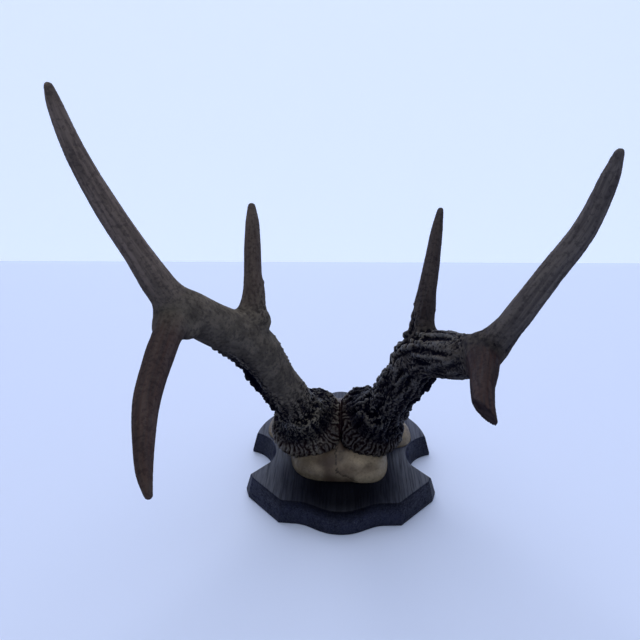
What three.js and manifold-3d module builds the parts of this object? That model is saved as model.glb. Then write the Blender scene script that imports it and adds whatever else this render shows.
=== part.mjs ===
// A pair of roe-buck antlers on their skull cap, set on a small stained wooden shield.
// Millimetres. +Z points out of the shield's face, the origin is the middle of its flat back.
// The braincase end of the skull cap faces -Y, and the antlers rake back over that end.
import * as THREE from 'three';
import { mergeVertices } from 'three/addons/utils/BufferGeometryUtils.js';
import Module from 'manifold-3d';

const wasm = await Module();
wasm.setup();

// ---- driving dimensions ----
const gap = 0.3; // clearance kept between touching pieces
const shield = {
  thickness: 15,
  straightEdge: 2, // height of the upright band at the back
  draft: 3.4, // how far the sides lean in up to the face
  curveSteps: 7, // straight runs in each curve of the outline
  nearEnd: -84,
  farEnd: 56,
  middleY: -14, // middle of the outline, moved onto the origin
};
const cap = {
  // rounded lumps, each with its middle, its half size and how square it is (1 is an ellipsoid)
  lumps: [
    { at: [-1.5, -14, 15], size: [33, 41, 14], square: 0.62, sides: 18 }, // braincase
    { at: [15, -32, 15], size: [16.5, 23.7, 11], square: 0.75, sides: 16 }, // its fuller lobe
    { at: [-1, -24, 15], size: [9, 22, 18], square: 0.9, sides: 14 }, // crest between the burrs
    { at: [0, 6, 15], size: [29, 25, 15], square: 0.75, sides: 18 }, // forehead
    { at: [36, -5, 15], size: [14.5, 15, 10], square: 0.85, sides: 14 }, // orbit rims
    { at: [-39, 1, 15], size: [14.5, 15, 9.5], square: 0.85, sides: 14 },
  ],
  sockets: [
    { at: [51, 10, 12], size: [13, 12, 8], square: 1, sides: 14 },
    { at: [-54, 16, 12], size: [13, 12, 8], square: 1, sides: 14 },
  ],
  pedicleRadius: [15, 17.5], // at the burr, at the bone
  pedicleLength: 16,
};
const burr = {
  // radius against height along the collar's axis, from the seat up to the beam
  profile: [[16.5, -5], [19.6, -3.5], [20.8, 0], [20, 3.5], [17.8, 8.5], [15.2, 14], [12.6, 22]],
  axis: [0.08, -0.5, 0.86], // on the right antler
  sides: 18,
  knobs: 24,
  knobRing: 20.5, // radius of the ring that the knobs sit on
  knobSize: [2.3, 3.2, 2.9], // across, outward and along the axis
  backReach: 0.12, // share of the radius that the back of the collar stands further out
  innerLift: 8, // how much higher the collar stands at its back, towards the other antler
};
// Pearls on each branch: how many, from and to which share of its length, and their size.
const pearlRows = {
  beam: [[46, 0.07, 0.42, 3], [8, 0.42, 0.58, 2.2]],
  frontTine: [[8, 0.12, 0.6, 2.2]],
  rearTine: [[3, 0.16, 0.36, 1.8]],
};
const pearlTurn = 2.399; // turn from one pearl to the next, the golden angle
const tubeSides = 12;
const ridge = 0.035; // share of the radius that every other edge stands proud
const forkBox = 34; // width of the block that parts a tine from its beam
const tineReach = 120; // longer than any tine
const beamReach = 160; // longer and wider than the upper beams
const beyond = 400; // larger than the object

// Each branch is a list of stations: x, y, z and the radius there.
const antlers = {
  left: {
    beam: [
      [-22, -25, 36, 14], [-30, -35, 62, 13.1], [-40, -48, 88.5, 12.8], [-49, -56, 111.5, 13.6],
      [-57.5, -64, 125, 13], [-66, -74, 134, 12.2], [-74.5, -83, 145.5, 11.2], [-81.5, -89, 156, 9.3],
      [-92.5, -92, 179, 6.4], [-103, -93, 201, 5.7], [-111.3, -94, 224, 4.9], [-115.5, -94, 242, 3.6],
      [-116.5, -94, 250.5, 1],
    ],
    frontTine: [
      [-52.5, -60, 124, 10.3], [-48, -50, 139, 7.8], [-49, -42, 151, 5.6], [-50, -34, 163, 5],
      [-51.5, -24, 176, 4.1], [-53, -16, 185.5, 1.1],
    ],
    rearTine: [
      [-78, -84, 150, 9.3], [-80, -103, 143, 7.5], [-80.2, -120, 137, 6.9], [-79.3, -137, 131, 6.2],
      [-76.5, -151, 125.5, 5.2], [-71.5, -167, 118.3, 3.6], [-67.5, -176.5, 114.5, 0.9],
    ],
    frontCut: 17, // distance along the tine at which it is parted from the beam
    rearCut: 12,
    topCut: 0.5, // share of the beam's length at which the upper beam starts
  },
  right: {
    beam: [
      [21, -24, 37, 14], [32, -34, 64.5, 13.6], [40, -42, 85, 13.8], [46.5, -50.5, 106, 13.6],
      [54, -65.5, 115, 12], [63, -80.5, 121.5, 11.2], [71, -90, 132, 9.4], [78, -94, 145, 6.9],
      [91, -93, 168, 6.2], [103.5, -93, 191, 5.4], [109.1, -93, 211, 4.5], [110.4, -94, 224.5, 1],
    ],
    frontTine: [
      [44.5, -53, 106, 10], [47, -46, 128, 7.1], [48.5, -40, 141, 5.6], [51.5, -30, 156, 4.7],
      [55.5, -17, 173, 3.2], [57.5, -9.5, 181.5, 1.1],
    ],
    rearTine: [
      [68.5, -86, 131, 9.3], [67, -104, 128, 7.4], [63.5, -116, 125, 5.8], [61.5, -128, 123, 5],
      [60.7, -136, 121.5, 4.7], [60.3, -144, 120, 4.4],
    ],
    frontCut: 18,
    rearCut: 12,
    topCut: 0.51,
    broken: { at: [60.2, -130.5, 122], facing: [-0.8, -0.55, -0.22] },
  },
};

const finish = {
  antler: { color: '#3a332e', roughness: 0.5 },
  tine: { color: '#4a3f36', roughness: 0.45 },
  bone: { color: '#9c8c78', roughness: 0.6 },
  wood: { color: '#23252c', roughness: 0.55 },
};

// ---- helpers ----
let seed = 7;
function random() {
  seed = (seed * 16807) % 2147483647;
  return seed / 2147483647;
}

function toSolid(geometry) {
  const bare = geometry.clone();
  bare.deleteAttribute('normal');
  bare.deleteAttribute('uv');
  const merged = mergeVertices(bare, 1e-4);
  const vertProperties = new Float32Array(merged.attributes.position.array);
  const triVerts = new Uint32Array(merged.index.array);
  return new wasm.Manifold(new wasm.Mesh({ numProp: 3, vertProperties, triVerts }));
}

function toGeometry(solid) {
  const mesh = solid.getMesh();
  const geometry = new THREE.BufferGeometry();
  geometry.setAttribute('position', new THREE.BufferAttribute(mesh.vertProperties, 3));
  geometry.setIndex(new THREE.BufferAttribute(mesh.triVerts, 1));
  geometry.computeVertexNormals();
  return geometry;
}

// A block with one face on the plane through `at`, filling the side that `facing` points to.
function block(at, facing, width, length = width) {
  const geometry = new THREE.BoxGeometry(width, width, length);
  geometry.translate(0, 0, length / 2);
  const up = new THREE.Vector3(0, 0, 1);
  geometry.applyQuaternion(new THREE.Quaternion().setFromUnitVectors(up, facing.clone().normalize()));
  geometry.translate(at.x, at.y, at.z);
  return toSolid(geometry);
}

// Splits off the part of a solid inside a block, leaving the gap between the two.
function part(solid, at, facing, width, length) {
  const step = facing.clone().normalize().multiplyScalar(gap / 2);
  const inside = solid.intersect(block(at.clone().add(step), facing, width, length));
  const outside = solid.subtract(block(at.clone().sub(step), facing, width, length));
  return [inside, outside];
}

// A closed round lump standing at its place; square under 1 pushes it out towards a box.
function lump({ at, size, square, sides }) {
  const geometry = new THREE.SphereGeometry(1, sides, sides / 2);
  const p = geometry.attributes.position;
  const shape = (v) => Math.sign(v) * Math.abs(v) ** square;
  for (let i = 0; i < p.count; i += 1) {
    p.setXYZ(i, size[0] * shape(p.getX(i)), size[1] * shape(p.getZ(i)), -size[2] * shape(p.getY(i)));
  }
  geometry.translate(at[0], at[1], at[2]);
  return toSolid(geometry);
}

// A branch of antler: a closed cylinder bent along a smooth curve, with its own radius all along.
class Branch {
  constructor(stations) {
    this.radii = stations.map((s) => s[3]);
    this.curve = new THREE.CatmullRomCurve3(stations.map((s) => new THREE.Vector3(s[0], s[1], s[2])));
    this.rings = stations.length * 2;
    this.frames = this.curve.computeFrenetFrames(this.rings, false);
  }

  radius(t) {
    const u = this.curve.getUtoTmapping(t) * (this.radii.length - 1);
    const i = Math.min(Math.floor(u), this.radii.length - 2);
    return THREE.MathUtils.lerp(this.radii[i], this.radii[i + 1], u - i);
  }

  // A point on the surface, and the directions outward and along the branch there.
  surface(t, angle) {
    const ring = Math.round(t * this.rings);
    const outward = this.frames.normals[ring].clone().multiplyScalar(Math.cos(angle));
    outward.addScaledVector(this.frames.binormals[ring], Math.sin(angle));
    const point = this.curve.getPointAt(t).addScaledVector(outward, this.radius(t));
    return { point, outward, along: this.curve.getTangentAt(t) };
  }

  solid() {
    const geometry = new THREE.CylinderGeometry(1, 1, 1, tubeSides, this.rings);
    const p = geometry.attributes.position;
    for (let i = 0; i < p.count; i += 1) {
      const t = THREE.MathUtils.clamp(p.getY(i) + 0.5, 0, 1);
      const ring = Math.round(t * this.rings);
      const angle = Math.atan2(p.getX(i), p.getZ(i));
      const edge = Math.round((angle / (2 * Math.PI)) * tubeSides);
      const proud = 1 + (edge % 2 === 0 ? ridge : -ridge);
      const r = Math.hypot(p.getX(i), p.getZ(i)) * this.radius(t) * proud;
      const point = this.curve.getPointAt(t);
      point.addScaledVector(this.frames.binormals[ring], r * Math.cos(angle));
      point.addScaledVector(this.frames.normals[ring], r * Math.sin(angle));
      p.setXYZ(i, point.x, point.y, point.z);
    }
    const made = toSolid(geometry);
    if (made.volume() > 0) return made;
    geometry.index.array.reverse();
    return toSolid(geometry);
  }
}

// One pearl: a small faceted bead, longer along the branch than across it.
function pearl(spot, size) {
  const geometry = new THREE.OctahedronGeometry(1, 0);
  geometry.scale(size[0], size[2], size[1]);
  const across = new THREE.Vector3().crossVectors(spot.along, spot.outward).normalize();
  const turn = new THREE.Matrix4().makeBasis(across, spot.along, spot.outward);
  geometry.applyMatrix4(turn);
  geometry.translate(spot.point.x, spot.point.y, spot.point.z);
  return toSolid(geometry);
}

// Pearls strewn over a stretch of a branch, thickest at its start.
function pearls(branch, [count, from, to, size]) {
  const made = [];
  for (let i = 0; i < count; i += 1) {
    const share = (i + random()) / count;
    const t = from + (to - from) * share ** 1.15;
    const spot = branch.surface(t, i * pearlTurn + random() * 0.8);
    spot.point.addScaledVector(spot.outward, -0.25 * size);
    const s = size * (0.75 + 0.5 * random()) * (1 - 0.3 * share);
    made.push(pearl(spot, [s, s, s * (1.2 + 0.6 * random())]));
  }
  return made;
}

// A point of the collar: its back reaches further out, and stands higher towards the other antler.
function collarPoint(start, axis, outward, radius, height) {
  const top = burr.profile.at(-1)[1];
  const seat = burr.profile[0][1];
  const inner = new THREE.Vector3(-Math.sign(axis.x) * 0.5, 0.85, 0);
  const share = height > seat ? Math.min(1, 1 - height / top) : 0.3;
  const point = start.clone().addScaledVector(axis, height);
  point.addScaledVector(outward, radius * (1 + burr.backReach * share * Math.max(0, outward.y)));
  point.z += burr.innerLift * share * Math.max(0, outward.dot(inner));
  return point;
}

function burrSolids(start, axis) {
  const points = burr.profile.map(([r, h]) => new THREE.Vector2(r, h));
  points.unshift(new THREE.Vector2(0, burr.profile[0][1]));
  points.push(new THREE.Vector2(0, burr.profile.at(-1)[1]));
  const geometry = new THREE.LatheGeometry(points, burr.sides);
  const turn = new THREE.Quaternion().setFromUnitVectors(new THREE.Vector3(0, 1, 0), axis);
  const p = geometry.attributes.position;
  for (let i = 0; i < p.count; i += 1) {
    const radius = Math.hypot(p.getX(i), p.getZ(i));
    const outward = new THREE.Vector3(p.getX(i), 0, p.getZ(i)).normalize().applyQuaternion(turn);
    const point = collarPoint(start, axis, outward, radius, p.getY(i));
    p.setXYZ(i, point.x, point.y, point.z);
  }
  const solids = [toSolid(geometry)];
  for (let i = 0; i < burr.knobs; i += 1) {
    const angle = ((i + 0.3 * random()) / burr.knobs) * 2 * Math.PI;
    const outward = new THREE.Vector3(Math.cos(angle), 0, Math.sin(angle)).applyQuaternion(turn);
    const point = collarPoint(start, axis, outward, burr.knobRing + random(), 2 * random() - 1.5);
    solids.push(pearl({ point, outward, along: axis }, burr.knobSize));
  }
  return solids;
}

// ---- pieces ----
function shieldOutline() {
  const half = new THREE.Path();
  half.moveTo(0, shield.nearEnd);
  half.bezierCurveTo(14, shield.nearEnd, 18, -76, 29, -76);
  half.lineTo(38, -75.5);
  half.lineTo(60, -54.5);
  half.lineTo(62.5, -48);
  half.lineTo(50.5, -35);
  half.bezierCurveTo(46, -27, 48, -13, 64.5, -8);
  half.bezierCurveTo(63, 12, 50, 30, 30, 33);
  half.bezierCurveTo(20, 35, 16, shield.farEnd, 0, shield.farEnd);
  const points = half.getPoints(shield.curveSteps);
  const mirrored = points.slice(1, -1).reverse().map((p) => new THREE.Vector2(-p.x, p.y));
  return points.concat(mirrored);
}

function makeShield() {
  const { thickness, straightEdge, draft, middleY } = shield;
  const outline = shieldOutline().map((p) => new THREE.Vector2(p.x, p.y - middleY));
  const lean = thickness - straightEdge;
  const geometry = new THREE.ExtrudeGeometry(new THREE.Shape(outline), {
    depth: straightEdge, bevelEnabled: true, bevelSegments: 1,
    bevelThickness: lean, bevelSize: draft, bevelOffset: -draft,
  });
  return toSolid(geometry).subtract(block(new THREE.Vector3(), new THREE.Vector3(0, 0, -1), beyond));
}

function makeCap(roots) {
  const { lumps, sockets, pedicleRadius, pedicleLength } = cap;
  let solid = lumps.map(lump).reduce((all, one) => all.add(one));
  solid = sockets.map(lump).reduce((all, one) => all.subtract(one), solid);
  for (const { start, axis } of roots) {
    const seat = start.clone().addScaledVector(axis, burr.profile[0][1] - gap);
    const pedicle = new THREE.CylinderGeometry(...pedicleRadius, pedicleLength, burr.sides);
    pedicle.translate(0, -pedicleLength / 2, 0);
    pedicle.applyQuaternion(new THREE.Quaternion().setFromUnitVectors(new THREE.Vector3(0, 1, 0), axis));
    pedicle.translate(seat.x, seat.y, seat.z);
    solid = solid.subtract(block(seat, axis, 2.6 * burr.knobRing)).add(toSolid(pedicle));
  }
  const foot = new THREE.Vector3(0, 0, shield.thickness + gap);
  return solid.subtract(block(foot, new THREE.Vector3(0, 0, -1), beyond));
}

function makeAntler(plan, sideSign) {
  const branches = { beam: new Branch(plan.beam) };
  branches.frontTine = new Branch(plan.frontTine);
  branches.rearTine = new Branch(plan.rearTine);
  const start = branches.beam.curve.getPointAt(0);
  const axis = new THREE.Vector3(sideSign * burr.axis[0], burr.axis[1], burr.axis[2]).normalize();
  const solids = burrSolids(start, axis);
  for (const [name, branch] of Object.entries(branches)) {
    solids.push(branch.solid());
    pearlRows[name].forEach((row) => solids.push(...pearls(branch, row)));
  }
  let whole = solids.reduce((all, one) => all.add(one));
  const middle = new THREE.Vector3((sideSign * gap) / 2, 0, 0);
  whole = whole.subtract(block(middle, new THREE.Vector3(-sideSign, 0, 0), beyond));
  if (plan.broken) {
    const at = new THREE.Vector3(...plan.broken.at);
    whole = whole.subtract(block(at, new THREE.Vector3(...plan.broken.facing), forkBox));
  }
  const cutAt = ({ curve }, length) => {
    const at = curve.getPointAt(length / curve.getLength());
    return [at, curve.getPointAt(1).sub(at)];
  };
  const { beam, frontTine, rearTine } = branches;
  const pieces = {};
  let rest;
  [pieces.front_tine, rest] = part(whole, ...cutAt(frontTine, plan.frontCut), forkBox, tineReach);
  [pieces.rear_tine, rest] = part(rest, ...cutAt(rearTine, plan.rearCut), forkBox, tineReach);
  const topAt = cutAt(beam, plan.topCut * beam.curve.getLength());
  [pieces.upper_beam, pieces.lower_beam] = part(rest, ...topAt, beamReach, beamReach);
  return { start, axis, pieces };
}

// ---- assembly ----
const object = new THREE.Group();

function addPiece(name, solid, look, group = object) {
  const material = new THREE.MeshStandardMaterial({ ...look, metalness: 0 });
  const mesh = new THREE.Mesh(toGeometry(solid), material);
  mesh.name = name;
  group.add(mesh);
}

addPiece('plaque', makeShield(), finish.wood);
const trophy = new THREE.Group();
trophy.position.set(0, -shield.middleY, 0);
object.add(trophy);
const left = makeAntler(antlers.left, -1);
const right = makeAntler(antlers.right, 1);
addPiece('skull_cap', makeCap([left, right]), finish.bone, trophy);
for (const [side, antler] of Object.entries({ left, right })) {
  for (const [name, solid] of Object.entries(antler.pieces)) {
    addPiece(`${side}_${name}`, solid, name.includes('tine') ? finish.tine : finish.antler, trophy);
  }
}

export default object;
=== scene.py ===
import math
import random

import bmesh
import bpy
import numpy as np
from mathutils import Matrix, Vector
from mathutils.bvhtree import BVHTree
from mathutils.kdtree import KDTree


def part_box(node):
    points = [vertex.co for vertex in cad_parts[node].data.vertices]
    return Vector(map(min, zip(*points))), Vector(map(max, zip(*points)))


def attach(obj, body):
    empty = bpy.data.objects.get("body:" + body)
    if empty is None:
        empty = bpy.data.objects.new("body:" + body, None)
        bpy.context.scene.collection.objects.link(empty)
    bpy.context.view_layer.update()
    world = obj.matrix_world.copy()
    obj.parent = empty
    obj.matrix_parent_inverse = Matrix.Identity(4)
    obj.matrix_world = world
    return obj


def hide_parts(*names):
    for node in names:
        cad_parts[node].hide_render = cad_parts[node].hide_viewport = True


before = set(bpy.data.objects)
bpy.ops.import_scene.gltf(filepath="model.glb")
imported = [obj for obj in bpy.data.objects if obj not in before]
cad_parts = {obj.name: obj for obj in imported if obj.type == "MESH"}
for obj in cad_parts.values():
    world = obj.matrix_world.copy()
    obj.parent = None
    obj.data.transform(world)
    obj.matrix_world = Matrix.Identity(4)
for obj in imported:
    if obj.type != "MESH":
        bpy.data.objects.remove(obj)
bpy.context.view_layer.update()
mm = 0.001
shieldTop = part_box("plaque")[1][2]
boneShift = np.array([0, 14 * mm, 0])  # the bones are drawn from the burrs, the shield from its middle
coarse = 1.0
print("frame loaded, shield face at", round(shieldTop / mm, 2), "mm")


def addObject(name, data):
    made = bpy.data.objects.new(name, data)
    bpy.context.scene.collection.objects.link(made)
    return made


def makeObject(name, mesh, material, nodes):
    piece = addObject(name, mesh)
    mesh.materials.clear()
    mesh.materials.append(material)
    mesh.shade_smooth()
    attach(piece, "root")
    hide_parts(*nodes)


def meshFrom(bm, name):
    mesh = bpy.data.meshes.new(name)
    bm.to_mesh(mesh)
    bm.free()
    return mesh


def skinOf(bm, name, voxel, smooth=0):
    # one closed skin of small even faces round all that is in bm
    holder = addObject(name, meshFrom(bm, name + " solid"))
    remesh = holder.modifiers.new("voxels", "REMESH")
    remesh.mode = "VOXEL"
    remesh.voxel_size = voxel * coarse
    if smooth:
        holder.modifiers.new("soften", "SMOOTH").iterations = smooth
    graph = bpy.context.evaluated_depsgraph_get()
    made = bpy.data.meshes.new_from_object(holder.evaluated_get(graph), depsgraph=graph)
    made.name = name
    bpy.data.objects.remove(holder)
    return made


def readVectors(mesh, key):
    values = np.empty(len(mesh.vertices) * 3)
    mesh.vertices.foreach_get(key, values)
    return values.reshape(-1, 3)


def setPlaces(mesh, places):
    mesh.vertices.foreach_set("co", np.ascontiguousarray(places).ravel())
    mesh.update()


def store(mesh, **layers):
    # a number or a vector for each vertex, which the materials read by name
    for name, values in layers.items():
        values = np.asarray(values, np.float32)
        kind, key = ("FLOAT", "value") if values.ndim == 1 else ("FLOAT_VECTOR", "vector")
        mesh.attributes.new(name, kind, "POINT").data.foreach_set(key, values.ravel())


def neighbourMean(mesh, values, passes=1):
    # each vertex's value averaged with its neighbours'
    ends = np.empty(len(mesh.edges) * 2, np.int64)
    mesh.edges.foreach_get("vertices", ends)
    a, b = ends[0::2], ends[1::2]
    size = len(mesh.vertices)
    count = np.maximum(np.bincount(ends, minlength=size), 1)
    for _ in range(passes):
        values = np.stack([
            (np.bincount(a, v[b], size) + np.bincount(b, v[a], size)) / count for v in values.T
        ], axis=1)
    return values


def hollows(mesh, passes):
    # how far each vertex lies below the mean of its surroundings
    places = readVectors(mesh, "co")
    around = neighbourMean(mesh, places, passes)
    return np.einsum("ij,ij->i", around - places, readVectors(mesh, "normal"))


def smoothStep(low, high, x):
    t = np.clip((x - low) / (high - low), 0, 1)
    return t * t * (3 - 2 * t)


def softBand(x, start, full, fade, end):
    # 1 from full to fade, 0 before start and after end
    return smoothStep(start, full, x) * (1 - smoothStep(fade, end, x))


noiseDice = np.random.default_rng(5)
noiseTable = noiseDice.permutation(256)
noiseSlopes = noiseDice.normal(size=(256, 3))
noiseSlopes /= np.linalg.norm(noiseSlopes, axis=1)[:, None]


def swirl(points, seed=0):
    # smooth noise, about -1 to 1, for each row of points
    low = np.floor(points).astype(int)
    part = points - low
    ease = part ** 3 * (part * (part * 6 - 15) + 10)
    total = np.zeros(len(points))
    for corner in np.ndindex(2, 2, 2):
        cell = low + corner
        pick = noiseTable[(cell[:, 0] + seed) & 255]
        pick = noiseTable[(pick + cell[:, 1]) & 255]
        pick = noiseTable[(pick + cell[:, 2]) & 255]
        share = np.prod(np.where(corner, ease, 1 - ease), axis=1)
        total += share * np.einsum("ij,ij->i", noiseSlopes[pick], part - corner)
    return total * 1.7


def crests(points, seed=0):
    # noise folded into sharp crests, 0 in the furrows and 1 on the crests
    return 1 - np.abs(swirl(points, seed))


def drift(points, seed):
    # three noises side by side, to bend a pattern with
    return np.stack([swirl(points, seed + k) for k in range(3)], axis=1)


def treeOf(points):
    tree = KDTree(len(points))
    for i, point in enumerate(points):
        tree.insert(point, i)
    tree.balance()
    return tree


cameraSet = {
    "place": (1.0, -300.9, 248.8),
    "pitch": 24.67,  # degrees below level
    "turn": 2.79,
    "roll": -0.67,
    "focal": 29.25,
    "sensor": 36.0,
}


def makeCamera():
    data = bpy.data.cameras.new("camera")
    data.lens = cameraSet["focal"]
    data.sensor_width = cameraSet["sensor"]
    data.clip_start = 0.01
    camera = addObject("camera", data)
    turn = Matrix.Rotation(math.radians(cameraSet["turn"]), 4, "Z")
    tilt = Matrix.Rotation(math.radians(90 - cameraSet["pitch"]), 4, "X")
    roll = Matrix.Rotation(math.radians(cameraSet["roll"]), 4, "Z")
    place = Matrix.Translation(Vector(cameraSet["place"]) * mm)
    camera.matrix_world = place @ turn @ tilt @ roll
    bpy.context.scene.camera = camera


stageSet = {
    "halfWidth": 2.2,
    "front": -1.8,
    "wallStart": 0.45,
    "wallHeight": 1.8,
    "floorColour": (0.68, 0.74, 0.93, 1),
    "wallColour": (0.66, 0.74, 0.90, 1),
    "wallGlow": ((0.80, 0.87, 1.0, 1), 0.52),
}

lightSet = {
    "overhead": {"place": (0.0, -0.2, 1.7), "size": 2.0, "power": 9.0, "colour": (0.95, 0.97, 1.0)},
    "sky": {"from": (-0.2, 0.75, 0.85), "strength": 1.2, "spread": 55, "colour": (0.96, 0.98, 1.0)},
    "world": ((0.70, 0.82, 1.0, 1), 0.3),
}


def plainMaterial(name, specular):
    material = bpy.data.materials.new(name)
    material.use_nodes = True
    shader = material.node_tree.nodes["Principled BSDF"]
    shader.inputs["Specular IOR Level"].default_value = specular
    return material, shader


def clothMaterial(name, colour):
    material, shader = plainMaterial(name, 0.2)
    shader.inputs["Base Color"].default_value = colour
    shader.inputs["Roughness"].default_value = 0.85
    return material, shader


def pulledSheet(name, start, pull, material):
    # an edge across the stage, drawn out to a sheet
    bm = bmesh.new()
    half = stageSet["halfWidth"]
    edge = bm.edges.new([bm.verts.new((x, *start)) for x in (-half, half)])
    made = bmesh.ops.extrude_edge_only(bm, edges=[edge])["geom"]
    bmesh.ops.translate(bm, vec=pull, verts=[g for g in made if isinstance(g, bmesh.types.BMVert)])
    sheet = addObject(name, meshFrom(bm, name))
    sheet.data.materials.append(material)
    return sheet


def makeStage():
    front, wallStart = stageSet["front"], stageSet["wallStart"]
    cloth, _ = clothMaterial("pale cloth", stageSet["floorColour"])
    pulledSheet("floor", (front, 0), (0, wallStart - front, 0), cloth)
    lit, shader = clothMaterial("lit wall", stageSet["wallColour"])
    glow, strength = stageSet["wallGlow"]
    shader.inputs["Emission Color"].default_value = glow
    shader.inputs["Emission Strength"].default_value = strength
    wall = pulledSheet("wall", (wallStart, 0), (0, 0, stageSet["wallHeight"]), lit)
    wall.visible_shadow = False  # the sky behind it still reaches the object


def addLamp(kind, name, place, colour):
    data = bpy.data.lights.new(name, kind)
    data.color = colour
    lamp = addObject(name, data)
    lamp.location = place
    lamp.rotation_euler = (-Vector(place)).to_track_quat("-Z", "Y").to_euler()
    return data


def makeLights():
    overhead = lightSet["overhead"]
    lamp = addLamp("AREA", "overhead", overhead["place"], overhead["colour"])
    lamp.shape = "DISK"
    lamp.size = overhead["size"]
    lamp.energy = overhead["power"]
    sky = lightSet["sky"]
    lamp = addLamp("SUN", "sky", sky["from"], sky["colour"])
    lamp.energy = sky["strength"]
    lamp.angle = math.radians(sky["spread"])
    world = bpy.data.worlds.new("studio")
    world.use_nodes = True
    background = world.node_tree.nodes["Background"]
    background.inputs["Color"].default_value, background.inputs["Strength"].default_value = lightSet["world"]
    bpy.context.scene.world = world
    bpy.context.scene.view_settings.view_transform = "Standard"


makeCamera()
makeStage()
makeLights()
print("camera, floor and lights ready")


class Graph:
    # adds nodes to a tree and joins them in one call
    def __init__(self, tree):
        self.tree = tree

    def put(self, node, key, value):
        socket = node.inputs[key]
        if isinstance(value, bpy.types.NodeSocket):
            self.tree.links.new(value, socket)
        else:
            socket.default_value = value

    def add(self, kind, settings=None, inputs=None):
        node = self.tree.nodes.new(kind)
        for key, value in (settings or {}).items():
            setattr(node, key, value)
        for key, value in (inputs or {}).items():
            self.put(node, key, value)
        return node

    def math(self, operation, a, b=0.0):
        return self.add("ShaderNodeMath", {"operation": operation}, {0: a, 1: b}).outputs[0]

    def times(self, a, b):
        return self.math("MULTIPLY", a, b)

    def scaled(self, value, factor, start):
        # start where value is 0, growing by factor to where it is 1
        return self.math("ADD", self.times(value, factor), start)

    def between(self, value, low, high, outLow=0.0, outHigh=1.0):
        ends = {"Value": value, "From Min": low, "From Max": high, "To Min": outLow, "To Max": outHigh}
        return self.add("ShaderNodeMapRange", {"interpolation_type": "SMOOTHSTEP"}, ends).outputs[0]

    def mix(self, share, a, b):
        return self.add("ShaderNodeMix", {"data_type": "RGBA"}, {0: share, 6: a, 7: b}).outputs[2]

    def noise(self, vector, scale, detail=3.0, roughness=0.5):
        return self.add("ShaderNodeTexNoise", None, {
            "Vector": vector, "Scale": scale, "Detail": detail, "Roughness": roughness}).outputs["Fac"]

    def stretch(self, vector, scale):
        return self.add("ShaderNodeMapping", None, {"Vector": vector, "Scale": scale}).outputs[0]

    def attribute(self, name, output="Fac"):
        return self.add("ShaderNodeAttribute", {"attribute_name": name}).outputs[output]

    def bump(self, height, strength, distance):
        return self.add("ShaderNodeBump", None, {
            "Strength": strength, "Distance": distance, "Height": height}).outputs[0]

    def group(self, tree, inputs):
        node = self.add("ShaderNodeGroup", {"node_tree": tree})
        for key, value in inputs.items():
            self.put(node, key, value)
        return node.outputs


def newGroup(name, inputs, outputs):
    tree = bpy.data.node_groups.new(name, "ShaderNodeTree")
    for label, kind, value in inputs:
        socket = tree.interface.new_socket(label, in_out="INPUT", socket_type="NodeSocket" + kind)
        if value is not None:
            socket.default_value = value
    for label in outputs:
        tree.interface.new_socket(label, in_out="OUTPUT", socket_type="NodeSocketFloat")
    g = Graph(tree)
    return tree, g, g.add("NodeGroupInput").outputs, g.add("NodeGroupOutput").inputs


def mottleGroup():
    # cloudy patches and fine specks, from 0 to 1
    tree, g, given, out = newGroup(
        "mottle", [("Vector", "Vector", None), ("Coarse", "Float", 60.0), ("Fine", "Float", 400.0)],
        ["Patch", "Speck"])
    coarsePatch = g.noise(given["Vector"], given["Coarse"], 4.0, 0.6)
    fineSpeck = g.noise(given["Vector"], given["Fine"], 3.0, 0.65)
    tree.links.new(g.between(coarsePatch, 0.35, 0.65), out["Patch"])
    tree.links.new(g.between(fineSpeck, 0.42, 0.7), out["Speck"])
    return tree


def streakGroup():
    # streaks that run along the third coordinate
    tree, g, given, out = newGroup(
        "streaks", [("Vector", "Vector", None), ("Across", "Float", 1.0), ("Along", "Float", 0.05)],
        ["Streak", "Fine"])
    scale = g.add("ShaderNodeCombineXYZ", None, {
        "X": given["Across"], "Y": given["Across"], "Z": given["Along"]}).outputs[0]
    long = g.add("ShaderNodeVectorMath", {"operation": "MULTIPLY"}, {0: given["Vector"], 1: scale}).outputs[0]
    tree.links.new(g.between(g.noise(long, 1.0, 3.0, 0.55), 0.36, 0.66), out["Streak"])
    tree.links.new(g.between(g.noise(long, 3.6, 3.0, 0.6), 0.38, 0.66), out["Fine"])
    return tree


def reliefGroup():
    # painted shade in hollows and lighter crests, partly wear and partly painted highlight, from a relief of
    # -1 on crests to 1 in hollows
    tree, g, given, out = newGroup(
        "relief", [("Relief", "Float", 0.0), ("Reach", "Float", 0.5)], ["Hollow", "Crest"])
    down = g.times(given["Reach"], -1.4)
    start = g.times(given["Reach"], -0.3)
    tree.links.new(g.between(given["Relief"], start, given["Reach"]), out["Hollow"])
    tree.links.new(g.between(given["Relief"], down, start, 1.0, 0.0), out["Crest"])
    return tree


mottle = mottleGroup()
streaks = streakGroup()
reliefShade = reliefGroup()


def newMaterial(name, specular):
    material, shader = plainMaterial(name, specular)
    return material, Graph(material.node_tree), shader


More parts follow.
